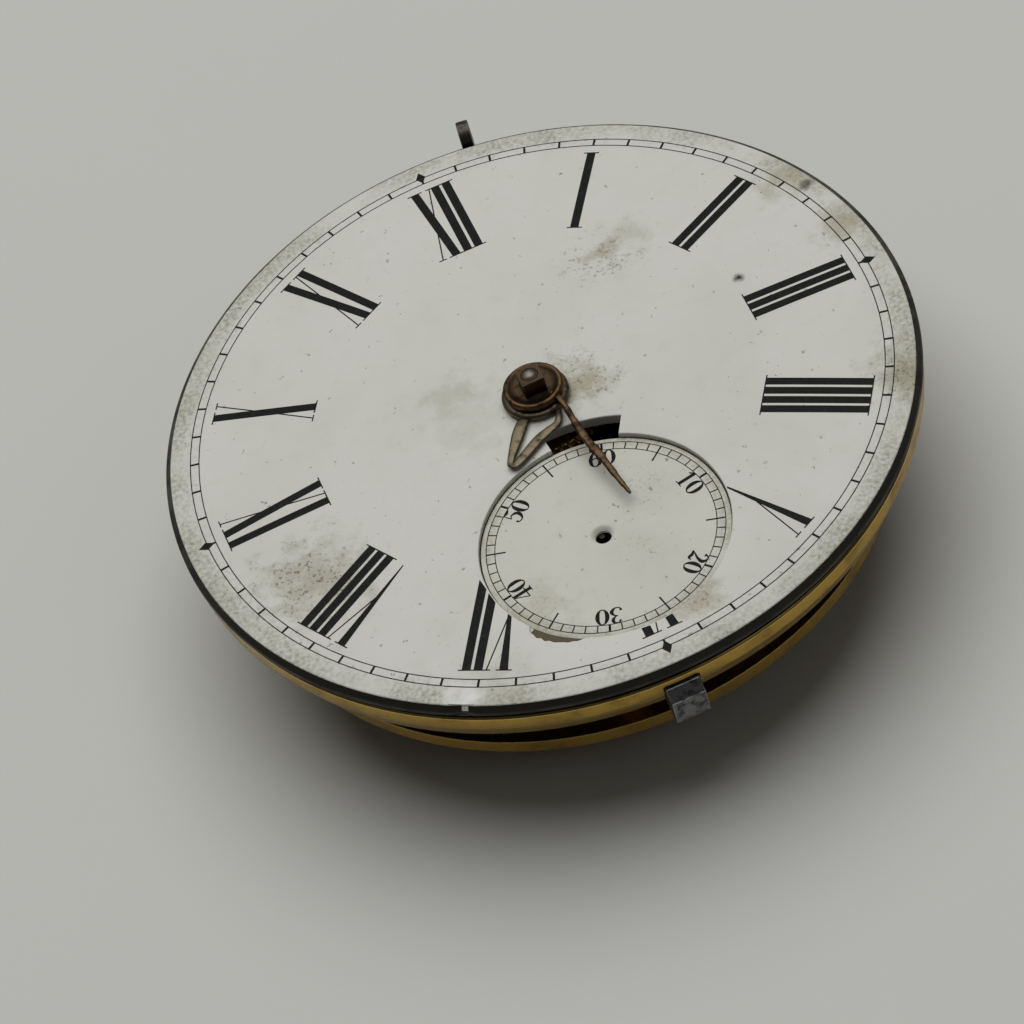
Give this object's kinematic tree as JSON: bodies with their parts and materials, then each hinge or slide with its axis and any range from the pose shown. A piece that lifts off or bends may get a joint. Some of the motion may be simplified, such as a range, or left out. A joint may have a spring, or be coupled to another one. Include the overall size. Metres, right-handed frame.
{
  "type": "pocket watch movement",
  "caption": "Key-wound full-plate pocket watch movement with fusee and chain, lever escapement, worn white Roman dial with sunk seconds, broken hands, gilt plates, case joint and bolt.",
  "frame": {"origin": "on the centre line of the movement, at the front face of the brass edge, below the dial", "axes": "+X towards III on the dial, +Y towards XII, +Z out of the dial towards the viewer"},
  "size_m": [0.0428, 0.045, 0.0127],
  "materials": {
    "enamel": "worn white vitreous enamel on copper",
    "gilt": "aged fire gilding",
    "wheel_brass": "turned brass",
    "gold": "polished plain balance",
    "steel": "polished steel",
    "chain_steel": "dull riveted chain",
    "worn_steel": "worn dark steel",
    "blued_steel": "blued steel",
    "brown_steel": "browned steel",
    "hour_bronze": "tarnished brass",
    "minute_copper": "tarnished, copper brown",
    "ruby": "polished ruby"
  },
  "bodies": {
    "frame": {"dial": "enamel", "seconds_dial": "enamel", "brass_edge": "gilt", "pillar_plate": "gilt", "top_plate": "gilt", "pillars": "gilt", "pillar_pins": "steel", "dial_pins": "wheel_brass", "front_screws": "blued_steel", "joint": "worn_steel", "bolt_spring": "blued_steel", "barrel_bar": "gilt", "back_screws": "blued_steel", "balance_cock": "gilt", "potence": "gilt", "jewels": "ruby", "endstone_cap": "steel", "endstone_screws": "blued_steel", "barrel_arbor": "steel", "mainspring": "blued_steel", "setup_ratchet": "steel", "setup_click": "steel", "chain_run": "chain_steel", "banking_pins": "wheel_brass", "balance_spring": "blued_steel", "spring_stud": "steel", "minute_post": "steel"},
    "bolt_body": {"bolt": "worn_steel"},
    "barrel_body": {"barrel": "wheel_brass", "barrel_cover": "wheel_brass", "chain_coils": "chain_steel"},
    "great_body": {"great_wheel": "wheel_brass", "maintaining_ratchet": "steel"},
    "fusee_body": {"fusee": "wheel_brass"},
    "detent_body": {"maintaining_detent": "steel"},
    "stop_body": {"fusee_stop_arm": "steel"},
    "centre_body": {"centre_wheel": "wheel_brass", "centre_arbor": "steel"},
    "third_body": {"third_wheel": "wheel_brass", "third_arbor": "steel"},
    "fourth_body": {"fourth_wheel": "wheel_brass", "fourth_arbor": "steel"},
    "escape_body": {"escape_wheel": "wheel_brass", "escape_arbor": "steel"},
    "lever_body": {"lever": "steel", "pallets": "steel", "pallet_stones": "ruby", "pallet_arbor": "steel"},
    "balance_body": {"roller": "steel", "impulse_pin": "ruby", "balance_staff": "steel", "balance_wheel": "gold"},
    "regulator_body": {"regulator": "steel"},
    "setting_body": {"cannon_pinion": "brown_steel", "minute_hand": "minute_copper"},
    "minute_body": {"minute_wheel": "wheel_brass"},
    "hour_body": {"hour_wheel": "wheel_brass", "hour_hand": "hour_bronze"}
  },
  "joints": [
    {"name": "fourth_spin", "type": "hinge", "parent": "frame", "child": "fourth_body", "pos_m": [-0.0003, -0.0106, 0], "axis": [0, 0, -1], "continuous": true},
    {"name": "third_spin", "type": "hinge", "parent": "frame", "child": "third_body", "pos_m": [-0.00306, -0.00571, 0], "axis": [0, 0, -1], "continuous": true},
    {"name": "centre_spin", "type": "hinge", "parent": "frame", "child": "centre_body", "pos_m": [0, 0, 0], "axis": [0, 0, -1], "continuous": true},
    {"name": "great_spin", "type": "hinge", "parent": "frame", "child": "great_body", "pos_m": [0.00835, 0.00224, 0], "axis": [0, 0, -1], "continuous": true},
    {"name": "escape_spin", "type": "hinge", "parent": "frame", "child": "escape_body", "pos_m": [0.00383, -0.01349, 0], "axis": [0, 0, -1], "continuous": true},
    {"name": "fusee_wind", "type": "hinge", "parent": "great_body", "child": "fusee_body", "pos_m": [0.00835, 0.00224, 0], "axis": [0, 0, -1], "range_deg": [0, 1290]},
    {"name": "barrel_turn", "type": "hinge", "parent": "frame", "child": "barrel_body", "pos_m": [-0.00735, 0.00617, 0], "axis": [0, 0, -1], "range_deg": [0, 799.8], "deforming": ["mainspring"]},
    {"name": "set_hands", "type": "hinge", "parent": "frame", "child": "setting_body", "pos_m": [0, 0, 0], "axis": [0, 0, -1], "continuous": true},
    {"name": "minute_wheel_spin", "type": "hinge", "parent": "frame", "child": "minute_body", "pos_m": [0.00288, 0.00288, 0], "axis": [0, 0, -1], "continuous": true},
    {"name": "hour_spin", "type": "hinge", "parent": "frame", "child": "hour_body", "pos_m": [0, 0, 0], "axis": [0, 0, -1], "continuous": true},
    {"name": "balance_swing", "type": "hinge", "parent": "frame", "child": "balance_body", "pos_m": [0.006, -0.007, 0], "axis": [0, 0, -1], "range_deg": [-15, 15], "stiffness_Nm_per_rad": 0.0000035, "deforming": ["balance_spring"]},
    {"name": "lever_swing", "type": "hinge", "parent": "frame", "child": "lever_body", "pos_m": [0.00781, -0.0123, 0], "axis": [0, 0, -1], "range_deg": [-5, 5]},
    {"name": "regulator_turn", "type": "hinge", "parent": "frame", "child": "regulator_body", "pos_m": [0.006, -0.007, 0], "axis": [0, 0, -1], "range_deg": [-15, 15]},
    {"name": "detent_ride", "type": "hinge", "parent": "frame", "child": "detent_body", "pos_m": [0.0116, -0.00583, 0], "axis": [0, 0, -1], "range_deg": [0, 4]},
    {"name": "stop_lift", "type": "hinge", "parent": "frame", "child": "stop_body", "pos_m": [0.01256, 0.00783, 0], "axis": [0, 0, 1], "range_deg": [0, 6]},
    {"name": "bolt_slide", "type": "slide", "parent": "frame", "child": "bolt_body", "axis": [0, 1, 0], "range_m": [0, 0.001], "stiffness_N_per_m": 10, "deforming": ["bolt_spring"]}
  ],
  "couplings": [
    {"joint": "third_spin", "follows": "fourth_spin", "ratio": -0.13333},
    {"joint": "centre_spin", "follows": "fourth_spin", "ratio": 0.016667},
    {"joint": "great_spin", "follows": "fourth_spin", "ratio": -0.0033333},
    {"joint": "escape_spin", "follows": "fourth_spin", "ratio": -8},
    {"joint": "barrel_turn", "follows": "fusee_wind", "ratio": 0.62},
    {"joint": "minute_wheel_spin", "follows": "set_hands", "ratio": -0.33333},
    {"joint": "hour_spin", "follows": "set_hands", "ratio": 0.083333},
    {"joint": "lever_swing", "follows": "balance_swing", "ratio": -0.33333}
  ]
}
